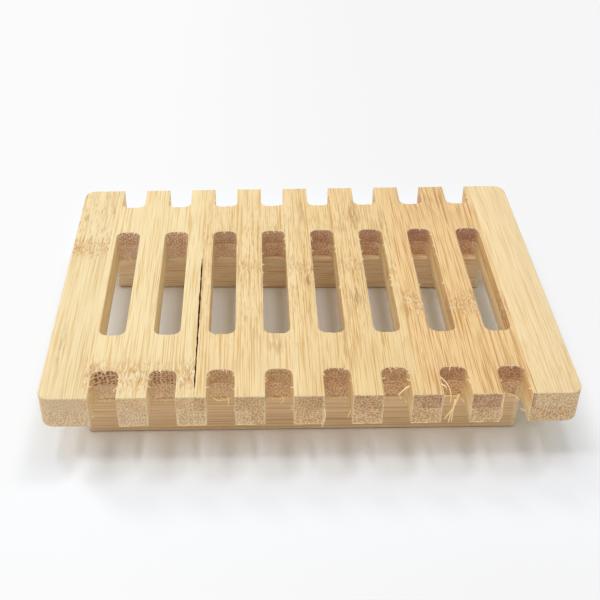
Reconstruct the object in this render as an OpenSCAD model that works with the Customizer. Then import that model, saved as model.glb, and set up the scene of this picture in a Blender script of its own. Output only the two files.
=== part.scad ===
// Slatted bamboo soap dish: a board of two glued plies on two rails.
// Each ply is a row of strips with their grain front to back, and the rails' grain runs side to side.
// The origin is the middle of the dish on the surface it stands on, +X to the right and +Y to the back.
// Lengths are in millimetres.

/* [Board] */
// Width of the board, side to side
board_w = 120; // [100:1:150]
// Depth of the board, front to back
board_d = 90; // [80:1:110]
// Radius of the board's four upright corners
corner_r = 3; // [1:0.5:8]
// Thickness of the upper ply
upper_ply_t = 4; // [3:0.1:6]
// Thickness of the lower ply
lower_ply_t = 4.3; // [3:0.1:6]

/* [Strips] */
// Width of the upper ply's narrow strip at the board's left side
left_strip_w = 9.7; // [6:0.1:14]
// Width of the upper ply's narrow strip at the board's right side
right_strip_w = 10.3; // [6:0.1:14]
// Width of the open seam at its widest
open_seam_w = 0.35; // [0.1:0.05:0.6]
// Width of the open seam at the board's front edge
open_seam_front_w = 0.15; // [0.05:0.05:0.3]
// Length of the open seam, from the front edge to where it closes
open_seam_l = 55; // [20:1:70]

/* [Slots and notches] */
// Width of the board's whole margin beyond the first and last slots
side_margin = 11.2; // [8:0.1:14]
// Width of a slot or notch, which is the cutter's width
slot_w = 6.3; // [5:0.1:7.5]
// Length of a closed slot
slot_l = 45; // [30:0.5:50]
// Corner radius at the ends of the slots and notches
slot_r = 2.1; // [0.6:0.1:2.4]
// How far a notch runs in from the board's long edge
notch_l = 9.4; // [5:0.1:13]

/* [Rails] */
// How far a rail stops short of the board's side, at each end
rail_inset = 9.7; // [4:0.1:20]
// Width of a rail, front to back
rail_w = 13.8; // [8:0.2:18]
// Height of a rail, which lifts the board clear of the surface
rail_h = 10; // [6:0.5:18]
// Radius of a rail's upright corners
rail_r = 0.9; // [0.6:0.1:3]
// How far the front rail's outer face stands out past the ends of the notches
rail_proud = 0.5; // [0:0.1:2]
// How far the front rail is glued to the left of the board's middle
front_rail_shift = 1; // [0:0.1:4]
// How far the rear rail is glued to the right of the board's middle
rear_rail_shift = 0.4; // [0:0.1:4]
// How much further in from its edge the rear rail is glued than the front one
rear_rail_set_in = 1; // [0:0.1:3]
// Turn of the rear rail, which brings its right-hand end nearer the front
rear_rail_turn = 1.6; // [0:0.1:3]

/* [Edges] */
// Width of the eased arris round the rims of the board and the rails
arris = 0.4; // [0.1:0.1:0.5]

/* [Hidden] */
$fn = 64;

// Overrun of every cut past the faces that it goes through
over = 1;
slot_count = 8;
// The board lies on the rails, and the lower ply under the upper one
board_t = lower_ply_t + upper_ply_t;
lower_z = rail_h;
upper_z = rail_h + lower_ply_t;
// Slots and notches share these places across the board
slot_pitch = (board_w - 2 * side_margin - slot_w) / (slot_count - 1);
slot_xs = [for (i = [0:slot_count - 1]) (i - (slot_count - 1) / 2) * slot_pitch];
// The upper ply's full strips share the width between its two narrow ones
full_strips = 4;
strip_w = (board_w - left_strip_w - right_strip_w) / full_strips;
upper_seams = [for (k = [0:full_strips]) left_strip_w - board_w / 2 + k * strip_w];
// The lower ply's seams lie half a strip across from the upper ply's
lower_seams = [for (k = [1:full_strips]) (upper_seams[k - 1] + upper_seams[k]) / 2];
upper_edges = concat([-board_w / 2], upper_seams, [board_w / 2]);
lower_edges = concat([-board_w / 2], lower_seams, [board_w / 2]);
// The seam that has opened is the first full strip's right-hand one.
// It is at its widest between these shares of its length.
open_seam_x = upper_seams[1];
open_seam_shares = [0.15, 0.8];
// The rails' length, and their middles, which the ends of the notches set
rail_l = board_w - 2 * rail_inset;
front_rail_y = notch_l - rail_proud + rail_w / 2 - board_d / 2;
rear_rail_y = -front_rail_y - rear_rail_set_in;

// Tints of the strips, left to right
upper_tints = ["#F0D8A4", "#F3DDAA", "#EDD19E", "#E8CA95", "#E2BA80", "#F2DDB2"];
lower_tints = ["#DFC495", "#E4CB9D", "#DABD8B", "#E1C592", "#E5CCA0"];
rail_tint = "#C9AB76";

// Cross-section of a block of width w and height h, with its four arrises eased by e
function eased_section(w, h, e) = [
    [-w / 2 + e, 0], [w / 2 - e, 0], [w / 2, e], [w / 2, h - e],
    [w / 2 - e, h], [-w / 2 + e, h], [-w / 2, h - e], [-w / 2, e]
];

// Half the cross-section of a round post of radius r and height h, eased the same way
function eased_post(r, h, e) = [[0, 0], [r - e, 0], [r, e], [r, h - e], [r - e, h], [0, h]];

// A block with upright corners of radius r and both rims eased by e, standing on z = 0
module eased_block(w, d, h, r, e) {
    rotate([90, 0, 90])
        linear_extrude(height = w - 2 * r, center = true)
            polygon(eased_section(d, h, e));
    rotate([90, 0, 0])
        linear_extrude(height = d - 2 * r, center = true)
            polygon(eased_section(w, h, e));
    for (side = [-1, 1], end = [-1, 1])
        translate([side * (w / 2 - r), end * (d / 2 - r), 0])
            rotate_extrude()
                polygon(eased_post(r, h, e));
}

// Outline of a slot: a rectangle with round corners, flat across the middle of each end
module slot_outline(w, l, r) {
    square([w - 2 * r, l], center = true);
    square([w, l - 2 * r], center = true);
    for (side = [-1, 1], end = [-1, 1])
        translate([side * (w / 2 - r), end * (l / 2 - r)])
            circle(r = r);
}

// The cutter's passes at one place: a closed slot in line with a notch in either long edge.
// A notch is the inner half of a slot centred on the board's edge.
module cuts_at(x) {
    translate([x, 0, lower_z - over])
        linear_extrude(height = board_t + 2 * over) {
            slot_outline(slot_w, slot_l, slot_r);
            for (edge = [-1, 1])
                translate([0, edge * board_d / 2])
                    slot_outline(slot_w, 2 * notch_l, slot_r);
        }
}

// The open seam: a thin gap through the upper ply alone, narrow at the front edge,
// widest along its middle and closed at its rear end
module open_seam() {
    front = -board_d / 2;
    widened = front + open_seam_l * open_seam_shares[0];
    closing = front + open_seam_l * open_seam_shares[1];
    translate([open_seam_x, 0, upper_z])
        linear_extrude(height = upper_ply_t + over)
            polygon([
                [-open_seam_front_w / 2, front - over], [open_seam_front_w / 2, front - over],
                [open_seam_front_w / 2, front], [open_seam_w / 2, widened], [open_seam_w / 2, closing],
                [0, front + open_seam_l],
                [-open_seam_w / 2, closing], [-open_seam_w / 2, widened], [-open_seam_front_w / 2, front]
            ]);
}

// One strip of a ply, from the ply's edges and seams, its foot and its thickness
module strip(edges, number, foot, t) {
    left = edges[number - 1];
    right = edges[number];
    difference() {
        intersection() {
            translate([0, 0, lower_z])
                eased_block(board_w, board_d, board_t, corner_r, arris);
            translate([left, -board_d / 2, foot])
                cube([right - left, board_d, t]);
        }
        for (x = slot_xs)
            if (x + slot_w / 2 > left && x - slot_w / 2 < right)
                cuts_at(x);
    }
}

module upper_strip(number) {
    color(upper_tints[number - 1])
        difference() {
            strip(upper_edges, number, upper_z, upper_ply_t);
            if (upper_edges[number] == open_seam_x || upper_edges[number - 1] == open_seam_x)
                open_seam();
        }
}

module lower_strip(number) {
    color(lower_tints[number - 1])
        strip(lower_edges, number, lower_z, lower_ply_t);
}

// A rail along X, with its middle at x, y and turned about it
module rail(x, y, turn) {
    color(rail_tint)
        translate([x, y, 0])
            rotate([0, 0, turn])
                eased_block(rail_l, rail_w, rail_h, rail_r, arris);
}

module front_rail() {
    rail(-front_rail_shift, front_rail_y, 0);
}

// Glued a little askew, as by hand
module rear_rail() {
    rail(rear_rail_shift, rear_rail_y, -rear_rail_turn);
}

upper_strip(1);  // upper_strip_1
upper_strip(2);  // upper_strip_2
upper_strip(3);  // upper_strip_3
upper_strip(4);  // upper_strip_4
upper_strip(5);  // upper_strip_5
upper_strip(6);  // upper_strip_6
lower_strip(1);  // lower_strip_1
lower_strip(2);  // lower_strip_2
lower_strip(3);  // lower_strip_3
lower_strip(4);  // lower_strip_4
lower_strip(5);  // lower_strip_5
front_rail();
rear_rail();
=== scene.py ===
"""Slatted bamboo soap dish, standing on a pale floor.

A board of two glued plies lies on two rails. Each ply is a row of bamboo strips whose fibres run front to
back, and the fibres of the rails run side to side. Eight slots and two rows of eight notches are cut
through both plies. The sizes are those of the part's source. X points right, Y to the back and Z up.
"""

import logging
import math
from dataclasses import dataclass
from enum import Enum

import bpy
import numpy as np
from mathutils import Matrix, Vector
from mathutils.geometry import delaunay_2d_cdt


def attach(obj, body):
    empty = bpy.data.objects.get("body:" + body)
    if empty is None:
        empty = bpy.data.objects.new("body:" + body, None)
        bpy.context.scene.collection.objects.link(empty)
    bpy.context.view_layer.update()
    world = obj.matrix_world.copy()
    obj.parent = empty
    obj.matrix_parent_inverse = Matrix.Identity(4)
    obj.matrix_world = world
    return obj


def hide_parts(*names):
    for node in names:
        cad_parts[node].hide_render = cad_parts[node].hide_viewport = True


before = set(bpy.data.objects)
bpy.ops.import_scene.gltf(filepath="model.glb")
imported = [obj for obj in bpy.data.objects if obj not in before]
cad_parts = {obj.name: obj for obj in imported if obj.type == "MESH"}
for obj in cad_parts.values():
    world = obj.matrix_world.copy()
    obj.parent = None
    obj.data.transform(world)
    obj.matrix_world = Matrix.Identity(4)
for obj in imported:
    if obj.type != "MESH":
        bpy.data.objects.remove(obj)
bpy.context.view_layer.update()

MM = 0.001
SEED = 20
LOG = logging.getLogger("soap_dish")
Socket = bpy.types.NodeSocket


@dataclass(frozen=True)
class DishSizes:
    """Sizes of the dish in millimetres, as in the part's source."""

    board_w: float = 120.0
    board_d: float = 90.0
    corner_r: float = 3.0
    upper_ply_t: float = 4.0
    lower_ply_t: float = 4.3
    left_strip_w: float = 9.7
    right_strip_w: float = 10.3
    open_seam_w: float = 0.35
    open_seam_l: float = 55.0
    side_margin: float = 11.2
    slot_w: float = 6.3
    slot_l: float = 45.0
    slot_r: float = 2.1
    notch_l: float = 9.4
    rail_inset: float = 9.7
    rail_w: float = 13.8
    rail_h: float = 10.0
    rail_r: float = 0.9
    rail_proud: float = 0.5
    front_rail_shift: float = 1.0
    rear_rail_shift: float = 0.4
    rear_rail_set_in: float = 1.0
    rear_rail_turn: float = 1.6
    slot_count: int = 8
    full_strips: int = 4

    def slot_places(self) -> np.ndarray:
        """X of the middle of every slot and of the notches in line with it."""
        pitch = (self.board_w - 2 * self.side_margin - self.slot_w) / (self.slot_count - 1)
        return (np.arange(self.slot_count) - (self.slot_count - 1) / 2) * pitch

    def slots_between(self, left: float, right: float) -> list[float]:
        """X of the slots between two edges of a strip."""
        return [x for x in self.slot_places() if left < x < right]

    def upper_edges(self) -> np.ndarray:
        """X of the upper ply's sides and seams, left to right.

        Returns:
            One place for each.
        """
        strip_w = (self.board_w - self.left_strip_w - self.right_strip_w) / self.full_strips
        seams = self.left_strip_w - self.board_w / 2 + strip_w * np.arange(self.full_strips + 1)
        return np.concatenate([[-self.board_w / 2], seams, [self.board_w / 2]])

    def lower_edges(self) -> np.ndarray:
        """X of the lower ply's sides and seams, which lie half a strip across from the upper ply's."""
        seams = self.upper_edges()[1:-1]
        return np.concatenate([[-self.board_w / 2], (seams[:-1] + seams[1:]) / 2, [self.board_w / 2]])

    def is_side(self, x: float) -> bool:
        """Tells whether x is a side of the board."""
        return abs(x) == self.board_w / 2

    def corner_at(self, x: float) -> float:
        """Radius of a strip's corner at x: the board's at its sides, and none at a seam."""
        return self.corner_r if self.is_side(x) else 0.0

    def open_seam_x(self) -> float:
        """X of the seam that has opened, the first full strip's right-hand one."""
        return float(self.upper_edges()[2])

    def upper_z(self) -> float:
        """Height of the line between the plies."""
        return self.rail_h + self.lower_ply_t

    def top_z(self) -> float:
        """Height of the board's top face."""
        return self.upper_z() + self.upper_ply_t

    def front_rail_y(self) -> float:
        """Y of the middle of the front rail, which the ends of the notches set."""
        return self.notch_l - self.rail_proud + self.rail_w / 2 - self.board_d / 2

    def rear_rail_y(self) -> float:
        """Y of the middle of the rear rail."""
        return -self.front_rail_y() - self.rear_rail_set_in


@dataclass(frozen=True)
class RimFinish:
    """How a stretch of an edge was left, in millimetres.

    top and low are the widths of the arris above and below, ragged is how much more has broken away at
    worst, grain is the length of one break, and step is the spacing of the points.
    """

    top: float
    low: float
    ragged: float
    grain: float
    step: float


class Rim(Enum):
    """The ways in which the edges of the pieces were made."""

    SANDED = RimFinish(0.34, 0.26, 0.05, 1.2, 0.6)
    TOOTH = RimFinish(0.26, 0.16, 0.12, 0.7, 0.35)
    ROUTED = RimFinish(0.13, 0.10, 0.10, 0.7, 0.35)
    CROSSCUT = RimFinish(0.10, 0.10, 0.34, 0.45, 0.22)
    GLUED = RimFinish(0.025, 0.025, 0.0, 5.0, 2.5)
    CRACKED = RimFinish(0.05, 0.02, 0.05, 0.6, 0.4)
    RAIL = RimFinish(0.38, 0.34, 0.06, 1.5, 0.8)


# Radius of the upright edges of a tooth's end, and the radius under which such an edge is torn
TOOTH_R = 0.15
TORN_R = 1.0
# Spacing of the points along an arc
ARC_STEP = 0.33
# Sine of the turn past which two edges meet in a corner
CORNER_SINE = 0.4
# Number of points in an arris, and its width on a glued face as a share of that on a bare one
ARRIS_POINTS = 4
GLUED_SHARE = 0.12
# Width past which an arris shows torn fibres, as a pale band that is also a painted highlight
FUZZY_ARRIS = 0.08
# Share of a small corner's radius that its arris may take up
CORNER_SHARE = 0.7
# How far a strip's edge stands back where the seam has opened, at least
SEAM_OPEN = 0.03
# Turn past which two faces meet in a sharp edge
SHARP = math.radians(35)
# How far a fibre's tip stands past its last ring
TIP = 0.03


def unit(vectors: np.ndarray) -> np.ndarray:
    """Vectors of length one, along the last axis."""
    return vectors / np.maximum(np.linalg.norm(vectors, axis=-1, keepdims=True), 1e-12)


def uneven(places: np.ndarray, spacing: float, rng: np.random.Generator) -> np.ndarray:
    """Values from 0 to 1 that wander along a line.

    Formula: random heights at even knots, joined by straight lines.

    Args:
        places: distances along the line.
        spacing: distance between knots.
        rng: seeded source of the heights.

    Returns:
        One value for each place.
    """
    last = float(places.max()) + spacing
    knots = np.arange(0.0, last + spacing, spacing)
    return np.interp(places, knots, rng.random(len(knots)))


@dataclass
class Outline:
    """A closed outline in plan, in millimetres, with the solid on its left-hand side.

    points are in order, stretch holds the number of the edge that runs on from each point, and bends
    holds the radius of the outward corner that it is on.
    """

    points: np.ndarray
    stretch: np.ndarray
    rims: list[Rim]
    bends: np.ndarray

    def along(self, rim: Rim) -> np.ndarray:
        """Tells which points lie on an edge that was made in that way."""
        return np.isin(self.stretch, [n for n, made in enumerate(self.rims) if made is rim])

    def torn_edges(self) -> np.ndarray:
        """1 at the upright edges of a tooth's end, where the cutter tore the fibres. Their pale fuzz is also
        a painted highlight.
        """
        return np.where(self.bends < TORN_R, 1.0, 0.0)

    def cracked_edge(self) -> np.ndarray:
        """1 where the seam has opened, whose walls are painted dark as shade in the narrow gap, and 0 where
        it is still closed.

        Returns:
            One value for each point.
        """
        seam = self.along(Rim.CRACKED)
        closed = self.points[np.argmax(np.where(seam, self.points[:, 1], -np.inf)), 0]
        return np.where(seam & (np.abs(self.points[:, 0] - closed) > SEAM_OPEN), 1.0, 0.0)

    def insets(self, low: bool, rng: np.random.Generator) -> np.ndarray:
        """Steps into the solid, from the wall to where the arris meets the flat.

        Formula: at each point the step is the vector whose shares along the outward normals of the two
        edges that meet there are minus the widths of their arrises. Where the normals are nearly the same,
        it is minus their mean times the mean width. On a small corner the width keeps within its radius.

        Args:
            low: True for the lower arris.
            rng: seeded source of the breaks.

        Returns:
            One step for each point.
        """
        edges = np.roll(self.points, -1, axis=0) - self.points
        along = np.concatenate([[0.0], np.cumsum(np.linalg.norm(edges, axis=1))[:-1]])
        width = np.zeros(len(self.points))
        for rim in Rim:
            if rim in self.rims:
                finish = rim.value
                broken = uneven(along, finish.grain, rng) ** 2 * finish.ragged
                width = np.where(self.along(rim), (finish.low if low else finish.top) + broken, width)
        width = np.minimum(width, CORNER_SHARE * np.minimum(self.bends, np.roll(self.bends, 1)))
        ahead = unit(edges)
        out_next = np.stack([ahead[:, 1], -ahead[:, 0]], axis=1)
        out_last = np.roll(out_next, 1, axis=0)
        width_last = np.roll(width, 1)
        cross = out_last[:, 0] * out_next[:, 1] - out_last[:, 1] * out_next[:, 0]
        corner = np.abs(cross) > CORNER_SINE
        safe = np.where(corner, cross, 1.0)
        x = (width_last * out_next[:, 1] - width * out_last[:, 1]) / safe
        y = (width * out_last[:, 0] - width_last * out_next[:, 0]) / safe
        mean = unit(out_last + out_next) * ((width + width_last) / 2)[:, None]
        return -np.where(corner[:, None], np.stack([x, y], axis=1), mean)


def outline_through(corners: np.ndarray, radii: list[float], rims: list[Rim]) -> Outline:
    """A closed outline of straight edges and round corners.

    Formula: each corner is cut back by its radius times the tangent of half its turn, and an arc about
    the point one radius inside joins the two ends. The edges between are divided evenly.

    Args:
        corners: the sharp corners in order, with the solid on the left.
        radii: the radius at each corner, 0 for a sharp one.
        rims: the finish of the edge that runs on from each corner.

    Returns:
        The outline. An arc has the finish of the edge before it.
    """
    after = unit(np.roll(corners, -1, axis=0) - corners)
    before = np.roll(after, 1, axis=0)
    turns = np.arctan2(before[:, 0] * after[:, 1] - before[:, 1] * after[:, 0], (before * after).sum(axis=1))
    cut = np.asarray(radii) * np.tan(np.abs(turns) / 2)
    points, stretch, bends = [], [], []
    count = len(corners)
    for n in range(count):
        if radii[n] > 0:
            side = math.copysign(1.0, turns[n])
            start = corners[n] - before[n] * cut[n]
            centre = start + side * radii[n] * np.array([-before[n][1], before[n][0]])
            pieces = max(4, int(round(radii[n] * abs(turns[n]) / ARC_STEP)))
            angle = turns[n] * np.arange(pieces) / pieces
            spoke = start - centre
            x = centre[0] + spoke[0] * np.cos(angle) - spoke[1] * np.sin(angle)
            y = centre[1] + spoke[0] * np.sin(angle) + spoke[1] * np.cos(angle)
            points.append(np.stack([x, y], axis=1))
            stretch.append(np.full(pieces, (n - 1) % count))
            bends.append(np.full(pieces, radii[n] if side > 0 else np.inf))
        first = corners[n] + after[n] * cut[n]
        last = corners[(n + 1) % count] - after[n] * cut[(n + 1) % count]
        length = np.linalg.norm(last - first)
        parts = max(1, int(round(length / rims[n].value.step)))
        share = (np.arange(parts) / parts)[:, None]
        points.append(first + (last - first) * share)
        stretch.append(np.full(parts, n))
        bends.append(np.full(parts, np.inf))
    return Outline(np.concatenate(points), np.concatenate(stretch), rims, np.concatenate(bends))


def inside(points: np.ndarray, loop: np.ndarray) -> np.ndarray:
    """Tells which points lie inside a closed loop.

    Formula: a point is inside when the number of the loop's edges to its right is odd.

    Args:
        points: the points in plan.
        loop: the loop's points in order.

    Returns:
        True or False for each point.
    """
    x, y = points[:, 0:1], points[:, 1:2]
    a, b = loop, np.roll(loop, -1, axis=0)
    spans = (a[:, 1] > y) != (b[:, 1] > y)
    rise = np.where(b[:, 1] == a[:, 1], 1e-12, b[:, 1] - a[:, 1])
    meets = a[:, 0] + (y - a[:, 1]) * (b[:, 0] - a[:, 0]) / rise
    return (spans & (meets > x)).sum(axis=1) % 2 == 1


def flat_between(loops: list[np.ndarray]) -> np.ndarray:
    """Triangles of the flat face inside the first loop and outside the others.

    Formula: the loops are joined up in triangles that keep every edge, and as near to even ones as they
    can be. Those whose middle lies in the first loop and in none of the others are kept.

    Args:
        loops: the loops of points in plan. The triangles number their points in this order.

    Returns:
        Triangles as rows of three numbers, counter-clockwise from above.
    """
    points = np.concatenate(loops)
    edges = []
    start = 0
    for loop in loops:
        ring = start + np.arange(len(loop))
        edges.append(np.stack([ring, np.roll(ring, -1)], axis=1))
        start += len(loop)
    places = [Vector(point) for point in points.tolist()]
    found = delaunay_2d_cdt(places, np.concatenate(edges).tolist(), [], 1, 1e-6)
    made = np.array([tuple(v) for v in found[0]])
    if not all(found[3]):
        raise ValueError("the loops cross")
    origin = np.array([ids[0] for ids in found[3]])
    triangles = np.array([f for f in found[2] if len(f) == 3])
    middle = made[triangles].mean(axis=1)
    keep = inside(middle, loops[0])
    for loop in loops[1:]:
        keep &= ~inside(middle, loop)
    triangles = origin[triangles[keep]]
    a, b, c = (points[triangles[:, k]] for k in range(3))
    area = (b[:, 0] - a[:, 0]) * (c[:, 1] - a[:, 1]) - (b[:, 1] - a[:, 1]) * (c[:, 0] - a[:, 0])
    triangles[area < 0] = triangles[area < 0][:, ::-1]
    return triangles


def linked(name: str, data: bpy.types.ID) -> bpy.types.Object:
    """Makes an object of a mesh, a lamp or a camera, and puts it in the scene.

    Args:
        name: its name.
        data: the mesh, the lamp or the camera.

    Returns:
        The object.
    """
    made = bpy.data.objects.new(name, data)
    bpy.context.scene.collection.objects.link(made)
    return made


def mesh_object(name: str, points: np.ndarray, faces: list[np.ndarray], smooth: list[bool],
                marks: dict[str, np.ndarray] | None = None) -> bpy.types.Object:
    """Makes an object of arrays.

    Args:
        name: name of the piece.
        points: its points in millimetres.
        faces: arrays of triangles and of quads, with their faces outwards.
        smooth: whether each of those arrays is shaded smooth.
        marks: named values from 0 to 1 at each point, for the material.

    Returns:
        The object, at the origin, in metres.
    """
    mesh = bpy.data.meshes.new(name)
    sizes = np.concatenate([np.full(len(f), f.shape[1]) for f in faces])
    corners = np.concatenate([f.ravel() for f in faces])
    mesh.vertices.add(len(points))
    mesh.vertices.foreach_set("co", (points * MM).astype(np.float32).ravel())
    mesh.loops.add(len(corners))
    mesh.loops.foreach_set("vertex_index", corners.astype(np.int32))
    mesh.polygons.add(len(sizes))
    mesh.polygons.foreach_set("loop_start", (np.cumsum(sizes) - sizes).astype(np.int32))
    mesh.polygons.foreach_set("loop_total", sizes.astype(np.int32))
    flags = np.concatenate([np.full(len(f), s) for f, s in zip(faces, smooth)])
    mesh.polygons.foreach_set("use_smooth", flags)
    mesh.update(calc_edges=True)
    mesh.validate()
    mesh.set_sharp_from_angle(angle=SHARP)
    for mark, values in (marks or {}).items():
        mesh.attributes.new(mark, "FLOAT", "POINT").data.foreach_set("value", values.astype(np.float32))
    return linked(name, mesh)


def block_mesh(name: str, outlines: list[Outline], foot: float, head: float, seed: int,
               worn: tuple[bool, bool] = (True, True)) -> bpy.types.Object:
    """A flat piece with eased arrises, cut through by its inner outlines.

    Formula: round each outline an upright section is carried. It rises from the lower flat through a
    quarter turn, up the wall, and through a quarter turn to the upper flat. In a quarter turn of angle a,
    the point stands in by 1 - sin(a) of the arris and off the flat by 1 - cos(a) of it.

    Args:
        name: name of the piece.
        outlines: the outer outline and then those of its slots.
        foot: height of its lower flat.
        head: height of its upper flat.
        seed: seed of the breaks in its rims.
        worn: whether the lower and the upper arris are open to wear. One on a glued face stays sharp.

    Returns:
        The object.
    """
    rng = np.random.default_rng(seed)
    turn = np.linspace(0.0, np.pi / 2, ARRIS_POINTS)
    points, torn, painted_shade, walls, rims_low, rims_high = [], [], [], [], [], []
    start = 0
    for outline in outlines:
        count = len(outline.points)
        low = outline.insets(True, rng) * (1.0 if worn[0] else GLUED_SHARE)
        high = outline.insets(False, rng) * (1.0 if worn[1] else GLUED_SHARE)
        section = [(low, foot, 1.0, a) for a in turn] + [(high, head, -1.0, a) for a in turn[::-1]]
        for inset, flat, rise, a in section:
            width = np.linalg.norm(inset, axis=1)
            plan = outline.points + inset * (1 - math.sin(a))
            points.append(np.column_stack([plan, flat + rise * width * (1 - math.cos(a))]))
            # Pale fuzz of torn fibres, which on the middle of each wide arris is also a painted highlight
            torn.append(np.maximum(outline.torn_edges() * (a > 0), math.sin(2 * a) * (width > FUZZY_ARRIS)))
            # Painted shade: a dark line along a rail's foot where it stands on the floor, and dark walls in
            # the open seam
            at_foot = rise > 0 and 0 < a < np.pi / 2
            painted_shade.append(outline.along(Rim.RAIL) * at_foot + outline.cracked_edge() * (a > 0))
        here = start + np.arange(count)
        on = start + (np.arange(count) + 1) % count
        for ring in range(len(section) - 1):
            lift, top = ring * count, (ring + 1) * count
            walls.append(np.stack([here + lift, on + lift, on + top, here + top], axis=1))
        rims_low.append(here)
        rims_high.append(here + (len(section) - 1) * count)
        start += len(section) * count
    points = np.concatenate(points)
    upper, lower = (np.concatenate(rims)[flat_between([points[r][:, :2] for r in rims])]
                    for rims in (rims_high, rims_low))
    marks = {"torn": np.concatenate(torn), "painted_shade": np.concatenate(painted_shade)}
    faces = [upper, lower[:, ::-1], np.concatenate(walls)]
    return mesh_object(name, points, faces, [False, False, True], marks)


def linear(code: str) -> tuple[float, float, float, float]:
    """Turns an sRGB hex colour to linear light.

    Args:
        code: the hex colour.

    Returns:
        Red, green, blue and an alpha of 1.
    """
    parts = np.array([int(code[n:n + 2], 16) / 255 for n in (1, 3, 5)])
    light = np.where(parts <= 0.04045, parts / 12.92, ((parts + 0.055) / 1.055) ** 2.4)
    return (float(light[0]), float(light[1]), float(light[2]), 1.0)


# Settings that many nodes share
SMOOTH = {"interpolation_type": "SMOOTHSTEP"}
TEXTURE = {"vector_type": "TEXTURE"}
SPHERE = {"gradient_type": "SPHERICAL"}
RGBA = {"data_type": "RGBA"}
ABSOLUTE = {"operation": "ABSOLUTE"}
PLUS = {"operation": "ADD"}
TIMES = {"operation": "MULTIPLY"}
TIMES_KEPT = {"operation": "MULTIPLY", "use_clamp": True}
# What the colour of the inner ends is multiplied by, which leaves them paler and pinker: painted light that
# lifts the shade deep in the slots and notches
INNER_PAINTED_LIGHT = (1.18, 1.23, 1.64, 1.0)
# How far the patterns move on, in cells, from one seed to the next, and how far up the ends
SEED_STEP = 3.17
SEED_STEP_UP = 2.41


@dataclass
class Nodes:
    """The nodes of a material or of the sky."""

    owner: bpy.types.Material | bpy.types.World

    def __post_init__(self) -> None:
        """Starts from an empty tree."""
        self.owner.use_nodes = True
        self.owner.node_tree.nodes.clear()

    def add(self, kind: str, settings: dict | None = None, inputs: dict | tuple = (),
            out: int | str = 0) -> Socket | None:
        """Adds a node with its settings and links.

        Args:
            kind: the node's type, without its ShaderNode prefix.
            settings: its properties.
            inputs: its inputs, as a tuple in order or by name, each a value or an output to link.
            out: the output that is wanted.

        Returns:
            That output, or None for a node without one.
        """
        tree = self.owner.node_tree
        made = tree.nodes.new("ShaderNode" + kind)
        for key, value in (settings or {}).items():
            setattr(made, key, value)
        for key, value in inputs.items() if isinstance(inputs, dict) else enumerate(inputs):
            if isinstance(value, Socket):
                tree.links.new(value, made.inputs[key])
            elif value is not None:
                made.inputs[key].default_value = value
        return made.outputs[out] if made.outputs else None

    def moved(self, place: Socket, step: tuple) -> Socket:
        """A place moved by a step, which is given by its three parts."""
        return self.add("VectorMath", PLUS, (place, self.add("CombineXYZ", None, step)))

    def laid(self, colour: Socket | tuple, layers: list[tuple[Socket, Socket | str]]) -> Socket:
        """Lays layers of colour over each other.

        Args:
            colour: the colour at the bottom.
            layers: each a share and a colour, which is an output or a hex code.

        Returns:
            The colour that results.
        """
        for share, over in layers:
            over = linear(over) if isinstance(over, str) else over
            colour = self.add("Mix", RGBA, {0: share, 6: colour, 7: over}, 2)
        return colour


@dataclass(frozen=True)
class Pattern:
    """A layer of noise in the bamboo.

    size is that of its features in millimetres, across the fibre, along it and down. shift moves it away
    from the other layers.
    """

    shift: float
    size: tuple[float, float, float]
    detail: float = 1.0


class Grain(Enum):
    """The layers of noise in the bamboo."""

    BROAD = Pattern(0.0, (2.6, 220.0, 3.5))
    # Single fibres are too fine to show, so the finest lines are as wide as a bundle of them
    LINES = Pattern(3.0, (0.29, 26.0, 0.38))
    HAIR = Pattern(6.0, (0.3, 7.0, 0.35), 0.0)
    FUZZ_AND_HIGHLIGHT = Pattern(12.0, (0.5, 0.5, 0.35))
    NODE_WAVE = Pattern(15.0, (6.0, 300.0, 9.0), 3.0)
    DRIFT = Pattern(18.0, (16.0, 70.0, 16.0))
    CURL = Pattern(21.0, (1.8, 4.6, 2.2))
    ORANGE_FLECK = Pattern(24.0, (0.75, 5.5, 0.9))
    PALE_FLECK = Pattern(27.0, (0.6, 2.4, 0.8))
    DASH = Pattern(30.0, (0.28, 3.4, 0.45), 0.0)
    DARK_FLECK = Pattern(33.0, (0.26, 1.5, 0.4))
    END_FINE = Pattern(39.0, (0.3, 4.0, 0.3))
    END_CLOUD = Pattern(42.0, (2.2, 9.0, 1.6))
    STAIN_EDGE = Pattern(48.0, (0.6, 4.5, 1.5), 2.0)
    CELL_WAVE = Pattern(51.0, (4.0, 300.0, 6.0), 0.0)
    SCAR = Pattern(54.0, (1.6, 2.0, 2.0))


@dataclass(frozen=True)
class Spots:
    """Spots in cells, whose size is in millimetres across the fibre, along it and down.

    none and whole are how far from the middle, in cells, a spot ends and is at its full strength. scatter
    is how far the middles stray, and on_ends is for spots that run on unchanged along the fibre.
    """

    shift: float
    size: tuple[float, float, float]
    none: float
    whole: float
    scatter: float
    on_ends: bool = True


class Bundle(Enum):
    """The fibre bundles: veins on the faces, dots on the ends, and large cells where the culm had a node."""

    VEIN = Spots(9.0, (1.1, 130.0, 0.9), 0.20, 0.06, 1.0, False)
    DOT = Spots(36.0, (0.62, 0.55, 1.0), 0.46, 0.16, 0.8)
    CELL = Spots(45.0, (0.95, 0.64, 1.0), 0.42, 0.24, 0.5)


class Tint(Enum):
    """Colours that all the strips share."""

    FUZZ_AND_HIGHLIGHT = "#F4E0B6"
    # Painted shade for the rails' feet and the walls of the open seam
    PAINTED_SHADE = "#8A5E38"
    SCAR = "#FAEBC8"
    DASH = "#B07A40"
    INNER_DOT = "#8E6048"
    CELL = "#93674E"
    STAIN = "#A06C36"


@dataclass(frozen=True)
class Fleck:
    """Short flecks in a node of the culm: from low to high of their noise they grow to their full share."""

    grain: Grain
    low: float
    high: float
    share: float
    colour: str


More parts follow.
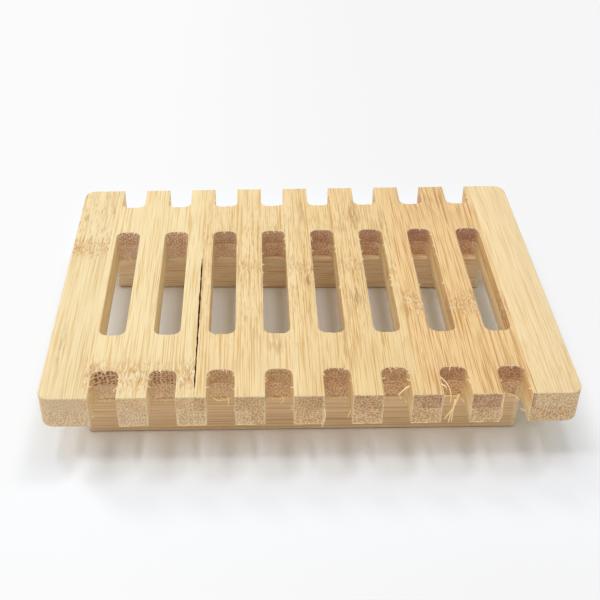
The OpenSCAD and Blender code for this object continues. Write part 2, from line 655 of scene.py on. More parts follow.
NODE_FLECKS = (
    Fleck(Grain.ORANGE_FLECK, 0.46, 0.64, 0.8, "#D9A560"),
    Fleck(Grain.PALE_FLECK, 0.52, 0.7, 0.5, "#FAE8C4"),
    Fleck(Grain.DARK_FLECK, 0.5, 0.63, 0.72, "#AC7A46"),
)


@dataclass(frozen=True)
class CulmNode:
    """A cross-band on a strip, where the culm had a node: its middle, its half-width and its strength."""

    y: float
    half: float
    strength: float = 1.0


@dataclass(frozen=True)
class Stain:
    """A soft dark patch in the bamboo: its middle, its half-widths across and along, and its depth."""

    x: float
    y: float
    across: float
    along: float
    depth: float


@dataclass(frozen=True)
class BambooFinish:
    """Moso bamboo strip, planed and sanded and left bare.

    What the eye sees: a dull, pale straw colour in fine parallel lines on the long faces, where the plane
    has cut along the fibre bundles. The same bundles are brown dots on the ends, 0.3 mm across and about
    0.6 mm apart, in paler pith. Where the culm had a node, the lines swerve and break up in short flecks.
    Torn fibres make a pale fuzz along the cut edges, which is also a painted highlight along the arrises.

    streaks, broad, veins, pepper, dots and inner_dots are the strengths of the lines, of the broad bands,
    of the brown veins, of the brown dashes, of the ends' dots and of those on the inner ends. pepper_y is
    the middle and the half-length of the stretch with dashes.
    """

    name: str
    pale: str
    deep: str
    seed: int
    vein: str = "#B4864E"
    end_pale: str = "#E0C398"
    end_deep: str = "#B38A5C"
    streaks: float = 1.0
    broad: float = 0.6
    veins: float = 0.2
    pepper: float = 0.0
    pepper_y: tuple[float, float] = (27.0, 14.0)
    dots: float = 0.5
    inner_dots: float = 0.6
    culm_nodes: tuple[CulmNode, ...] = ()
    stains: tuple[Stain, ...] = ()
    along_x: bool = False

    def material(self) -> bpy.types.Material:
        """Makes the material of this finish.

        Returns:
            The material.
        """
        made = bpy.data.materials.new(self.name)
        BambooNodes(made, self).build()
        return made


@dataclass
class BambooNodes(Nodes):
    """The nodes of a bamboo finish, a solid pattern that runs through the piece as the real fibres do.

    turn lays the fibres along Y, and place is the place in millimetres after that turn. knot is how far it
    lies in a node of the culm, and swerve is the place moved to and fro as the fibres are there.
    """

    finish: BambooFinish

    def __post_init__(self) -> None:
        """Finds the place in millimetres with Y along the fibre, and how the fibres lie there."""
        super().__post_init__()
        along_x = self.finish.along_x
        self.turn = (0.0, 0.0, math.radians(90) if along_x else 0.0)
        # On a rail the pattern is drawn out along the fibre
        scale = (300.0 if along_x else 1000.0, 1000.0, 1000.0)
        self.place = self.add("Mapping", None, (self.add("TexCoord", out="Object"), None, self.turn, scale))
        self.knot = self.in_node()
        self.swerve = self.swerved()

    def build(self) -> None:
        """Lays the layers of colour over each other, and links the shader."""
        finish = self.finish
        broad = self.noise(self.swerve, Grain.BROAD)
        lines = self.noise(self.swerve, Grain.LINES)
        hair = self.noise(self.swerve, Grain.HAIR)
        sharp = self.add("MapRange", SMOOTH, (lines, 0.48, 0.68))
        tone = self.tone((broad, finish.broad), (sharp, finish.streaks), (hair, 1.2 * finish.streaks))
        veins = self.add("Math", TIMES, (self.spots(self.swerve, Bundle.VEIN), finish.veins))
        # Pale fuzz of torn fibres at the cut edges, which is also a painted highlight along the arrises
        torn = self.add("Attribute", {"attribute_name": "torn"}, (), "Fac")
        fuzz = self.add("MapRange", None, (self.noise(self.place, Grain.FUZZ_AND_HIGHLIGHT), 0.3, 0.55))
        torn = self.add("Math", TIMES, (torn, fuzz))
        # Painted shade along the rails' feet and on the walls of the open seam
        painted_shade_share = self.add("Attribute", {"attribute_name": "painted_shade"}, (), "Fac")
        colour = self.laid(linear(finish.pale), [
            (tone, finish.deep), (veins, finish.vein), *self.flecks(), (self.on_end(), self.end_grain()),
            *self.stains(), (torn, Tint.FUZZ_AND_HIGHLIGHT.value), (painted_shade_share, Tint.PAINTED_SHADE.value)])
        height = self.tone((lines, 1.0), (hair, 0.6))
        bump = self.add("Bump", None, {"Strength": 0.4, "Distance": 0.00006, "Height": height})
        rough = self.add("MapRange", None, (lines, 0.0, 1.0, 0.48, 0.66))
        shader = self.add("BsdfPrincipled", None, {
            "Base Color": colour, "Roughness": rough, "IOR": 1.5, "Specular IOR Level": 0.3, "Normal": bump})
        self.add("OutputMaterial", None, {"Surface": shader})

    def tone(self, *layers: tuple[Socket, float]) -> Socket:
        """Sums up layers of noise about a half.

        Formula: half plus each layer's distance from a half times its weight, kept between 0 and 1.

        Args:
            layers: each a noise and its weight.

        Returns:
            The sum.
        """
        total = 0.5
        for noise, weight in layers:
            away = self.add("Math", {"operation": "SUBTRACT"}, (noise, 0.5))
            total = self.add("Math", {"operation": "MULTIPLY_ADD"}, (away, weight, total))
        return self.add("Math", {"operation": "ADD", "use_clamp": True}, (total, 0.0))

    def shift(self, off: float, size: tuple[float, float, float]) -> tuple[float, ...]:
        """How far a layer is moved along each axis, so that no two layers or strips are alike."""
        start = self.finish.seed * SEED_STEP + off
        return tuple((start + axis) * length for axis, length in enumerate(size))

    def noise(self, at: Socket, grain: Grain, number: int = 0) -> Socket:
        """A layer of noise.

        Args:
            at: the place, or the place moved.
            grain: the layer.
            number: counts layers of one kind, which then differ.

        Returns:
            Values about a half.
        """
        pattern = grain.value
        shift = self.shift(pattern.shift + number, pattern.size)
        scaled = self.add("Mapping", TEXTURE, (at, shift, None, pattern.size))
        return self.add("TexNoise", None, {"Vector": scaled, "Scale": 1.0, "Detail": pattern.detail})

    def spots(self, at: Socket, bundle: Bundle) -> Socket:
        """A layer of spots.

        Args:
            at: the place, or the place moved.
            bundle: the layer.

        Returns:
            1 in the middle of a spot and 0 outside it.
        """
        spots, seed = bundle.value, self.finish.seed
        shift, lean, space = self.shift(spots.shift, spots.size), 0.0, "3D"
        if spots.on_ends:
            height = spots.size[1]
            shift = (shift[0], 0.0, (seed * SEED_STEP_UP + spots.shift) * height)
            lean, space = math.radians(90), "2D"
        scaled = self.add("Mapping", TEXTURE, (at, shift, (lean, 0.0, 0.0), spots.size))
        far = self.add("TexVoronoi", {"voronoi_dimensions": space},
                       {"Vector": scaled, "Scale": 1.0, "Randomness": spots.scatter}, "Distance")
        return self.add("MapRange", SMOOTH, (far, spots.none, spots.whole))

    def wander(self, grain: Grain, reach: float) -> Socket:
        """A length that wanders by up to reach either way, in millimetres."""
        return self.add("MapRange", None, (self.noise(self.place, grain), 0.0, 1.0, -reach, reach))

    def band(self, at: Socket, middle: float, half: float) -> Socket:
        """1 at that place along the fibre, falling to 0 at half a width to either side."""
        across = self.add("Mapping", TEXTURE, (at, (0.0, middle, 0.0), None, (1e5, half, 1e5)))
        return self.add("TexGradient", SPHERE, (across,), "Fac")

    def in_node(self) -> Socket | float:
        """How far a place lies in a node of the culm, from 0 to 1. The band waves to and fro.

        Returns:
            That share, and 0 for a strip without a node.
        """
        total = 0.0
        for culm_node in self.finish.culm_nodes:
            wavy = self.moved(self.place, (0.0, self.wander(Grain.NODE_WAVE, 4.5), 0.0))
            band = self.band(wavy, culm_node.y, culm_node.half)
            total = self.add("Math", {"operation": "MULTIPLY_ADD", "use_clamp": True},
                             (band, culm_node.strength, total))
        return total

    def swerved(self) -> Socket:
        """The place moved sideways, a little everywhere and by up to a millimetre in a node.

        Returns:
            The place, in millimetres.
        """
        curl = self.add("Math", TIMES, (self.wander(Grain.CURL, 1.1), self.knot))
        across = self.add("Math", PLUS, (self.wander(Grain.DRIFT, 0.6), curl))
        return self.moved(self.place, (across, 0.0, across))

    def on_end(self) -> Socket:
        """1 on faces across the fibre and 0 on those along it.

        Returns:
            That share.
        """
        facing = self.add("NewGeometry", out="Normal")
        facing = self.add("Mapping", {"vector_type": "NORMAL"}, {"Vector": facing, "Rotation": self.turn})
        facing = self.add("Math", ABSOLUTE, (self.add("SeparateXYZ", None, (facing,), "Y"),))
        return self.add("MapRange", SMOOTH, (facing, 0.3, 0.8))

    def flecks(self) -> list[tuple[Socket, str]]:
        """Layers of short flecks: three kinds and a pale scar in the nodes, and brown dashes elsewhere.

        Returns:
            The layers, each a share and a colour.
        """
        layers = []
        if self.finish.culm_nodes:
            for fleck in NODE_FLECKS:
                noise = self.noise(self.swerve, fleck.grain)
                share = self.add("MapRange", SMOOTH, (noise, fleck.low, fleck.high, 0.0, fleck.share))
                layers.append((self.add("Math", TIMES, (share, self.knot)), fleck.colour))
            scar = self.add("MapRange", SMOOTH, (self.knot, 0.76, 0.95, 0.0, 0.35))
            patchy = self.add("MapRange", None, (self.noise(self.place, Grain.SCAR), 0.38, 0.62))
            layers.append((self.add("Math", TIMES, (scar, patchy)), Tint.SCAR.value))
        if self.finish.pepper > 0:
            noise = self.noise(self.swerve, Grain.DASH)
            dash = self.add("MapRange", SMOOTH, (noise, 0.58, 0.7, 0.0, self.finish.pepper))
            band = self.add("Math", TIMES_KEPT, (self.band(self.place, *self.finish.pepper_y), 1.8))
            layers.append((self.add("Math", TIMES, (dash, band)), Tint.DASH.value))
        return layers

    def end_grain(self) -> Socket:
        """Colour of the cut ends: brown dots in pith, and large dark cells where the cut crosses a node.

        The ends of the slots are painted paler and pinker, as painted light that lifts the shade deep in
        them, and their dots are darker.

        Returns:
            The colour.
        """
        finish = self.finish
        inner = self.add("Math", ABSOLUTE, (self.add("SeparateXYZ", None, (self.place,), "Y"),))
        inner = self.add("MapRange", None, (inner, 38.0, 28.0, 0.0, 0.0 if finish.along_x else 1.0))
        dots = self.spots(self.place, Bundle.DOT)
        faded = self.add("MapRange", None, (
            dots, 0.0, 1.0, 0.3 - 0.3 * finish.inner_dots, 0.3 + 0.7 * finish.inner_dots))
        dots = self.add("Mix", {"data_type": "FLOAT"}, {0: inner, 2: dots, 3: faded})
        fine = self.noise(self.place, Grain.END_FINE)
        cloud = self.noise(self.place, Grain.END_CLOUD)
        share = self.add("Math", TIMES_KEPT, (
            self.tone((dots, 0.8), (fine, 1.0), (cloud, 0.9)), 2 * finish.dots))
        ends = self.laid(linear(finish.end_pale), [(share, finish.end_deep)])
        # Painted light: the inner ends are made paler and pinker
        ends = self.add("Mix", RGBA | {"blend_type": "MULTIPLY"}, {0: inner, 6: ends, 7: INNER_PAINTED_LIGHT}, 2)
        dark = self.add("Math", TIMES, (self.add("Math", TIMES, (dots, inner)), finish.inner_dots / 2))
        layers = [(dark, Tint.INNER_DOT.value)]
        if finish.culm_nodes:
            wavy = self.moved(self.place, (0.0, 0.0, self.wander(Grain.CELL_WAVE, 1.2)))
            cell = self.spots(wavy, Bundle.CELL)
            cell = self.add("Math", TIMES_KEPT, (self.add("Math", TIMES, (cell, self.knot)), 1.4))
            layers.append((cell, Tint.CELL.value))
        return self.laid(ends, layers)

    def stains(self) -> list[tuple[Socket, str]]:
        """Layers of soft dark patches: ellipsoids 18 mm up, at the board's top face, that reach 9 mm down.

        Returns:
            The layers, each a share and a colour.
        """
        layers = []
        for number, stain in enumerate(self.finish.stains):
            spot = self.add("Mapping", TEXTURE, (
                self.place, (stain.x, stain.y, 18.0), None, (stain.across, stain.along, 9.0)))
            edge = self.noise(self.place, Grain.STAIN_EDGE, number)
            edge = self.add("MapRange", None, (edge, 0.38, 0.62, 0.0, 2.0))
            soft = self.add("Math", TIMES_KEPT, (self.add("TexGradient", SPHERE, (spot,), "Fac"), edge))
            layers.append((self.add("Math", TIMES, (soft, stain.depth)), Tint.STAIN.value))
        return layers


UPPER_FINISHES = (
    BambooFinish("bamboo_upper_1", "#F7E5B7", "#E2BE81", seed=1, streaks=0.6, broad=0.35, pepper=0.45,
                 pepper_y=(28.0, 22.0), dots=0.38, end_pale="#EAD2A8", end_deep="#DEAF7D",
                 culm_nodes=(CulmNode(15.0, 5.5),), stains=(Stain(-57.0, -27.0, 1.2, 12.0, 0.25),)),
    BambooFinish("bamboo_upper_2", "#F7E1B0", "#E3C081", seed=2, streaks=1.05, broad=0.5, inner_dots=1.0,
                 end_pale="#F4D6A8", end_deep="#D5A470", culm_nodes=(CulmNode(-37.5, 7.5),)),
    BambooFinish("bamboo_upper_3", "#F5DBA7", "#DBB373", seed=3, streaks=0.85, broad=0.35, pepper=0.38,
                 pepper_y=(4.0, 40.0), end_pale="#E6C594", end_deep="#BA8B5D",
                 culm_nodes=(CulmNode(5.0, 4.6, 0.6),), stains=(Stain(-7.0, -26.5, 2.5, 5.0, 0.34),)),
    BambooFinish("bamboo_upper_4", "#F1D49D", "#D3A867", seed=4, streaks=1.05, broad=0.35, pepper=0.32,
                 pepper_y=(6.0, 44.0), end_pale="#E6BF91", end_deep="#AD7C55",
                 culm_nodes=(CulmNode(5.0, 4.6, 0.6),),
                 stains=(Stain(16.0, 30.5, 2.0, 8.0, 0.55), Stain(2.0, -1.5, 1.7, 3.6, 0.65),
                         Stain(13.0, -8.6, 1.7, 5.5, 0.75), Stain(1.5, 32.0, 1.3, 9.0, 0.3),
                         Stain(9.5, -27.0, 1.4, 9.0, 0.3))),
    BambooFinish("bamboo_upper_5", "#F0CD94", "#CA9659", seed=5, streaks=1.15, broad=0.25, pepper=0.14,
                 pepper_y=(-30.0, 26.0), veins=0.3, end_pale="#DDB489", end_deep="#9F6F4E",
                 culm_nodes=(CulmNode(-11.5, 7.0),), stains=(Stain(36.0, 38.0, 13.0, 17.0, 0.24),)),
    BambooFinish("bamboo_upper_6", "#F7DFB1", "#E3C289", seed=6, streaks=0.6, broad=0.2, pepper=0.14,
                 pepper_y=(-36.0, 20.0), end_pale="#F3D8AC", end_deep="#CD9F71"),
)

LOWER_FINISHES = tuple(
    BambooFinish(f"bamboo_lower_{n + 1}", pale, deep, seed=11 + n, streaks=0.8, end_pale=end_pale,
                 end_deep=end_deep)
    for n, (pale, deep, end_pale, end_deep) in enumerate((
        ("#F2DDB2", "#DDBD88", "#F4DAB1", "#D2A87E"),
        ("#F4E0B6", "#DFC28E", "#F6DBAE", "#CD9D70"),
        ("#EFD7A9", "#D7B57C", "#F2D1A0", "#BD8B5D"),
        ("#F1DBAE", "#DDBD86", "#F1D09F", "#BD8B5D"),
        ("#F2DCB0", "#DDBE89", "#F0D09F", "#B6865F"))))

FRONT_RAIL_FINISH = BambooFinish("bamboo_front_rail", "#F5D5A9", "#CEA26F", seed=21, streaks=0.6,
                                 broad=0.25, veins=0.05, along_x=True)
# The rear rail's colours are paler than the front rail's: painted light that lifts the shade under the board
REAR_RAIL_FINISH = BambooFinish("bamboo_rear_rail", "#FFE9C3", "#EABC8B", seed=22, streaks=0.8,
                                broad=0.4, veins=0.12, along_x=True)


def seat(piece: bpy.types.Object, finish: BambooFinish, node: str) -> bpy.types.Object:
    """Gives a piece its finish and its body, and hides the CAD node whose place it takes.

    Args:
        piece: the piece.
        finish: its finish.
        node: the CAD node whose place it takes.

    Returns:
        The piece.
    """
    piece.data.materials.append(finish.material())
    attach(piece, "root")
    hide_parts(node)
    return piece


@dataclass
class Ply:
    """One ply of the board: a row of strips, cut through by the slots and notches."""

    name: str
    sizes: DishSizes
    edges: np.ndarray
    foot: float
    head: float
    finishes: tuple[BambooFinish, ...]
    worn: tuple[bool, bool]
    has_open_seam: bool = False

    def at_open_seam(self, x: float) -> bool:
        """Tells whether x is the seam that has opened."""
        return self.has_open_seam and math.isclose(x, self.sizes.open_seam_x(), abs_tol=1e-6)

    def long_rim(self, x: float) -> Rim:
        """How a strip's long side at x was left."""
        seam = Rim.CRACKED if self.at_open_seam(x) else Rim.GLUED
        return Rim.SANDED if self.sizes.is_side(x) else seam

    def outer(self, left: float, right: float) -> Outline:
        """The outer outline of a strip, with its notches and round board corners.

        Args:
            left: X of the strip's left-hand edge.
            right: X of its right-hand edge.

        Returns:
            The outline.
        """
        sizes = self.sizes
        half, side = sizes.board_d / 2, sizes.slot_w / 2
        cuts = sizes.slots_between(left, right)
        corners, radii, rims = [], [], []
        for end, first, last, run in ((-1, left, right, cuts), (1, right, left, cuts[::-1])):
            mouth, bottom = end * half, end * (half - sizes.notch_l)
            corners.append((first, mouth))
            radii.append(sizes.corner_at(first))
            rims.append(Rim.TOOTH)
            for x in run:
                near, far = x + end * side, x - end * side
                corners += [(near, mouth), (near, bottom), (far, bottom), (far, mouth)]
                radii += [TOOTH_R, sizes.slot_r, sizes.slot_r, TOOTH_R]
                rims += [Rim.ROUTED, Rim.CROSSCUT, Rim.ROUTED, Rim.TOOTH]
            corners.append((last, mouth))
            radii.append(sizes.corner_at(last))
            rims.append(self.long_rim(last))
        return outline_through(np.array(corners), radii, rims)

    def closed_slots(self, left: float, right: float) -> list[Outline]:
        """The outlines of the closed slots between two edges, with the solid on their left.

        Args:
            left: X of the strip's left-hand edge.
            right: X of its right-hand edge.

        Returns:
            One outline for each slot.
        """
        sizes = self.sizes
        x, y = sizes.slot_w / 2, sizes.slot_l / 2
        box = np.array([(-x, -y), (-x, y), (x, y), (x, -y)])
        rims = [Rim.ROUTED, Rim.CROSSCUT] * 2
        return [outline_through(box + (place, 0.0), [sizes.slot_r] * 4, rims)
                for place in sizes.slots_between(left, right)]

    def part_seam(self, outline: Outline, side: float, rng: np.random.Generator) -> None:
        """Draws the outline's edge back from the open seam.

        Formula: half the seam's width runs straight between shares of the full one. It is least at the
        front edge and nothing at the rear end, has one narrow place, and is torn by two layers of noise.

        Args:
            outline: the strip's outer outline, which is changed.
            side: 1 for the strip on the left of the seam, -1 for the one on its right.
            rng: seeded source of the tears.
        """
        sizes = self.sizes
        here = np.abs(outline.points[:, 0] - sizes.open_seam_x()) < 1e-6
        y = outline.points[here, 1] + sizes.board_d / 2
        shares = np.array([0.0, 0.08, 0.15, 0.8, 0.845, 0.88, 0.95, 1.0])
        widths = np.array([0.1, 0.3, 0.55, 0.85, 0.4, 0.5, 0.6, 0.0]) * sizes.open_seam_w
        half = np.interp(y / sizes.open_seam_l, shares, widths, right=0.0) / 2
        torn = (uneven(y, 1.1, rng) - 0.35) * 0.16 + (uneven(y, 0.45, rng) - 0.5) * 0.06
        half = np.where(half > 0, np.maximum(half + torn * (half > SEAM_OPEN), 0.0), 0.0)
        outline.points[here, 0] -= side * half

    def build(self) -> list[bpy.types.Object]:
        """Builds every strip of the ply, in the place of its CAD node.

        Returns:
            The strips, left to right.
        """
        made = []
        for number, finish in enumerate(self.finishes, 1):
            left, right = float(self.edges[number - 1]), float(self.edges[number])
            outer = self.outer(left, right)
            for x, side in ((right, 1.0), (left, -1.0)):
                if self.at_open_seam(x):
                    self.part_seam(outer, side, np.random.default_rng(SEED + number))
            strip = f"{self.name}_strip_{number}"
            outlines = [outer, *self.closed_slots(left, right)]
            piece = block_mesh(f"{strip}_cut", outlines, self.foot, self.head, SEED + number, self.worn)
            made.append(seat(piece, finish, strip))
        return made


@dataclass
class Rail:
    """A rail under the board, its fibres running side to side."""

    name: str
    sizes: DishSizes
    x: float
    y: float
    turn: float
    finish: BambooFinish
    seed: int

    def build(self) -> bpy.types.Object:
        """Builds the rail in the place of its CAD node.

        Returns:
            The rail.
        """
        sizes = self.sizes
        half_l, half_w = (sizes.board_w - 2 * sizes.rail_inset) / 2, sizes.rail_w / 2
        box = np.array([(-half_l, -half_w), (half_l, -half_w), (half_l, half_w), (-half_l, half_w)])
        c, s = math.cos(math.radians(self.turn)), math.sin(math.radians(self.turn))
        corners = box @ np.array([(c, s), (-s, c)]) + (self.x, self.y)
        outline = outline_through(corners, [sizes.rail_r] * 4, [Rim.RAIL] * 4)
        piece = block_mesh(f"{self.name}_sawn", [outline], 0.0, sizes.rail_h, self.seed)
        return seat(piece, self.finish, self.name)


@dataclass(frozen=True)
class Fibre:
    """A fibre that the cutter tore loose: the places that it runs through and its radius, in millimetres."""

    places: tuple[tuple[float, float, float], ...]
    radius: float

    def tube(self, sides: int = 5, steps: int = 6) -> tuple[np.ndarray, np.ndarray, np.ndarray]:
        """The fibre as a closed tube.

        Formula: a Catmull-Rom curve runs through the places. Round each of its points stands a ring at
        right angles to it, which narrows to half at the free end, and a point closes either end.

        Args:
            sides: number of points in a ring.
            steps: number of rings for each length between two places.

        Returns:
            Points in millimetres, quads and triangles, which face outwards.
        """
        at = np.array(self.places)
        at = np.concatenate([[2 * at[0] - at[1]], at, [2 * at[-1] - at[-2]]])
        share = (np.arange(steps) / steps)[None, :, None]
        p, q, r, t = (at[k:len(at) - 3 + k, None, :] for k in range(4))
        way = q + share / 2 * (r - p + share * (2 * p - 5 * q + 4 * r - t + share * (3 * q - p - 3 * r + t)))
        way = np.concatenate([way.reshape(-1, 3), at[-2:-1]])
        ahead = unit(np.gradient(way, axis=0))
        across = unit(np.cross(ahead, (0.31, 0.52, 0.79)))
        upward = np.cross(ahead, across)
        angle = np.linspace(0.0, 2 * np.pi, sides, endpoint=False)[None, :, None]
        width = self.radius * np.linspace(1.0, 0.5, len(way))[:, None, None]
        spokes = np.cos(angle) * across[:, None, :] + np.sin(angle) * upward[:, None, :]
        rings = way[:, None, :] + width * spokes
        tips = way[[0, -1]] + ahead[[0, -1]] * [[-TIP], [TIP]]
        points = np.concatenate([rings.reshape(-1, 3), tips])
        here = np.arange(sides)
        on = (here + 1) % sides
        lift = sides * np.arange(len(way) - 1)[:, None]
        quads = np.stack([here + lift, on + lift, on + lift + sides, here + lift + sides], axis=2)
        last = sides * (len(way) - 1)
        first_tip = np.full(sides, len(points) - 2)
        ends = np.concatenate([np.stack([on, here, first_tip], axis=1),
                               np.stack([here + last, on + last, first_tip + 1], axis=1)])
        return points, quads.reshape(-1, 4), ends


LONG_FIBRES = (
    Fibre(((3.5, -40.6, 11.8), (3.9, -41.5, 9.0), (3.2, -42.2, 6.4)), 0.18),
    Fibre(((23.1, -39.4, 16.2), (21.8, -39.0, 14.7), (20.6, -39.0, 13.0)), 0.25),
    Fibre(((29.0, -38.2, 18.1), (31.0, -39.5, 16.6), (31.8, -41.0, 14.9), (31.7, -42.0, 13.2)), 0.16),
    Fibre(((34.9, -36.4, 10.7), (33.2, -39.5, 9.6), (31.0, -41.5, 7.8)), 0.22),
    Fibre(((34.9, -36.4, 10.5), (33.0, -39.5, 8.8), (32.0, -41.4, 6.6)), 0.21),
    Fibre(((33.6, -38.4, 11.0), (32.8, -41.0, 9.4), (32.7, -41.2, 6.6)), 0.16),
    Fibre(((31.2, -36.4, 10.2), (32.8, -36.9, 10.7), (34.7, -36.6, 10.2)), 0.15),
    Fibre(((43.0, -36.4, 10.2), (44.6, -37.6, 11.9), (46.4, -38.6, 12.2), (48.1, -39.5, 11.4)), 0.1),
    Fibre(((44.9, -37.6, 11.8), (43.9, -40.8, 10.5), (43.4, -43.0, 10.0), (42.7, -44.5, 10.4)), 0.1),
    Fibre(((-25.9, -44.8, 10.4), (-24.6, -44.75, 12.1), (-23.7, -44.8, 13.6)), 0.2),
    Fibre(((-18.2, -35.9, 10.4), (-18.0, -36.5, 9.6), (-18.3, -36.6, 8.2)), 0.12),
    Fibre(((-5.6, -35.9, 10.4), (-5.4, -36.6, 9.7), (-6.1, -36.7, 8.7)), 0.12),
    Fibre(((-21.8, -35.8, 10.2), (-20.6, -36.5, 9.8), (-19.4, -36.3, 9.7), (-18.2, -36.5, 9.9)), 0.11),
)


@dataclass
class TornFibres:
    """All the fibres that stand off the board, in millimetres: the long ones, and short ones on its rims.

    thread_r and hair_r are the radii of the threads and of the short ones. off is how far from the board's
    upper or lower face a short one starts, and root is how deep in the wood. curl is how far its middle is
    bent aside, as a share of its length, which lies between shortest and longest.
    """

    sizes: DishSizes
    long_ones: tuple[Fibre, ...]
    thread_r: float = 0.13
    hair_r: float = 0.09
    off: float = 0.1
    root: float = 0.15
    curl: float = 0.15
    shortest: float = 0.4
    longest: float = 1.1

    def threads(self, rng: np.random.Generator) -> list[Fibre]:
        """Long fibres half torn off along the lower edge of the teeth's ends, waving in and out of it.

        Formula: a fibre runs through places evenly spaced along the edge, each moved up and in by a random
        step.

        Args:
            rng: seeded source of the waves.

        Returns:
            One fibre for each tooth.
        """
        made = []
        sizes = self.sizes
        cuts, side = sizes.slot_places(), sizes.slot_w / 2
        for tooth in range(1, sizes.slot_count):
            x = np.linspace(cuts[tooth - 1] + side + 0.1, cuts[tooth] - side - 0.1, 9)
            # Those of the right-hand teeth hang looser
            wave = 0.05 if tooth < 5 else 0.12
            z = sizes.rail_h + 0.04 + 2 * wave * (rng.random(len(x)) - 0.7)
            y = 0.13 - sizes.board_d / 2 + 0.04 * rng.random(len(x))
            made.append(Fibre(tuple(zip(x.tolist(), y.tolist(), z.tolist())), self.thread_r))
        return made

    def on_ends(self, x: float, rng: np.random.Generator) -> list[Fibre]:
        """Short fibres at the inner ends of the notches and the rear end of the slot at x.

        Args:
            x: the middle of the slot.
            rng: seeded source of the places.

        Returns:
            The fibres.
        """
        made = []
        sizes = self.sizes
        inner = sizes.board_d / 2 - sizes.notch_l
        for foot, lean, count in ((-inner, -1.0, 5), (inner, 1.0, 3), (sizes.slot_l / 2, -1.0, 3)):
            for _ in range(count):
                low = rng.random() < 0.55
                z = sizes.rail_h + self.off if low else sizes.top_z() - self.off
                start = np.array([x + rng.uniform(-0.6, 0.6) * sizes.slot_w / 2, foot, z])
                out = np.array([rng.normal(0, 0.5), lean, rng.normal(-0.5 if low else 0.0, 0.3)])
                made.append(self.hair(start, out, rng))
        return made

    def on_walls(self, x: float, rng: np.random.Generator) -> list[Fibre]:
        """Short fibres on the side walls of the notches at x.

        Args:
            x: the middle of the notches.
            rng: seeded source of the places.

        Returns:
            The fibres.
        """
        made = []
        sizes = self.sizes
        for wall in (-1,) * 4 + (1,) * 4:
            end = rng.choice([-1.0, 1.0])
            y = end * rng.uniform(sizes.board_d / 2 - sizes.notch_l + 1.5, sizes.board_d / 2 - 1.2)
            z = sizes.top_z() - self.off if rng.random() < 0.5 else sizes.rail_h + self.off
            start = np.array([x + wall * sizes.slot_w / 2, y, z])
            out = np.array([-wall * 0.7, rng.normal(0, 0.8), rng.normal(0, 0.25)])
            made.append(self.hair(start, out, rng))
        return made

    def over_slot(self, x: float, rng: np.random.Generator) -> list[Fibre]:
        """Short fibres on the upper rims of the slot at x, about its middle.

        Args:
            x: the middle of the slot.
            rng: seeded source of the places.

        Returns:
            The fibres.
        """
        made = []
        sizes = self.sizes
        for _ in range(9):
            wall = rng.choice([-1.0, 1.0])
            place = x + wall * sizes.slot_w / 2
            start = np.array([place, rng.uniform(-4.0, 20.0), sizes.top_z() - self.off])
            made.append(self.hair(start, np.array([-wall * 0.5, rng.normal(0, 0.7), 0.0]), rng))
        return made

    def hair(self, start: np.ndarray, out: np.ndarray, rng: np.random.Generator) -> Fibre:
        """A short fibre that leans out from a rim and curls, kept within the dish's height.

        Formula: it runs through a root inside the wood, a middle that is bent aside at random, and a tip.

        Args:
            start: where it leaves the rim.
            out: the way that it leans.
            rng: seeded source of its length and curl.

        Returns:
            The fibre.
        """
        length = rng.uniform(self.shortest, self.longest)
        bend = rng.normal(0, self.curl, 3)
        middle = start + out * length / 2 + bend * length
        ways = np.array([start - out * self.root, middle, start + out * length])
        ways[:, 2] = np.minimum(ways[:, 2], self.sizes.top_z() - self.hair_r - 0.04)
        return Fibre(tuple(map(tuple, ways.tolist())), self.hair_r)

    def build(self) -> bpy.types.Object:
        """Joins the fibres in one piece.

        Returns:
            The piece.
        """
        rng = np.random.default_rng(SEED + 60)
        parts = [fibre.tube() for fibre in (*self.long_ones, *self.threads(rng))]
        places = self.sizes.slot_places()
        hairs = []
        for x in places:
            hairs += self.on_ends(x, rng) + self.on_walls(x, rng)
        # The rims of the fourth to the seventh slot are the most ragged
        for x in places[3:7]:
            hairs += self.over_slot(x, rng)
        parts += [fibre.tube(4, 2) for fibre in hairs]
        starts = np.cumsum([0] + [len(points) for points, _, _ in parts[:-1]])
        points = np.concatenate([points for points, _, _ in parts])
        quads = np.concatenate([quads + start for (_, quads, _), start in zip(parts, starts)])
        ends = np.concatenate([ends + start for (_, _, ends), start in zip(parts, starts)])
        piece = mesh_object("torn_fibres", points, [quads, ends], [True, True])
        piece.data.materials.append(self.material())
        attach(piece, "root")
        return piece

    def material(self) -> bpy.types.Material:
        """Torn bamboo fibre, paler than the cut faces. A faint emission is a painted glow that stands in for
        light passing through it.

        Returns:
            The material.
        """
        made = bpy.data.materials.new("bamboo_fibre")
        nodes = Nodes(made)
        shader = nodes.add("BsdfPrincipled", None, {
            "Base Color": linear("#FFEFC0"), "Roughness": 0.5, "IOR": 1.5,
            "Emission Color": linear("#FFDC9C"), "Emission Strength": 0.2})
        nodes.add("OutputMaterial", None, {"Surface": shader})
        return made


@dataclass(frozen=True)
class SoftLamp:
    """A large far-off soft lamp: where it stands round the dish, how high, and its light on a level face.

    bearing is in degrees from the back, to the left, and height is in degrees above the floor. spread is
    how many degrees across its disc is.
    """

    name: str
    bearing: float
    height: float
    share: float
    spread: float = 12.0

    def build(self) -> bpy.types.Object:
        """Makes the lamp, whose distance doesn't matter.

        Formula: a level face takes the light over pi times the sine of the lamp's height, so the light is
        the share times pi over that sine.

        Returns:
            The lamp.
        """
        data = bpy.data.lights.new(self.name, "SUN")
        turn, rise = math.radians(self.bearing), math.radians(self.height)
        data.angle = math.radians(self.spread)
        data.energy = math.pi * self.share / math.sin(rise)
        made = linked(self.name, data)
        out = Vector((-math.sin(turn) * math.cos(rise), math.cos(turn) * math.cos(rise), math.sin(rise)))
        made.location = out * 1.5
        made.rotation_euler = (-out).to_track_quat("-Z", "Y").to_euler()
        return made


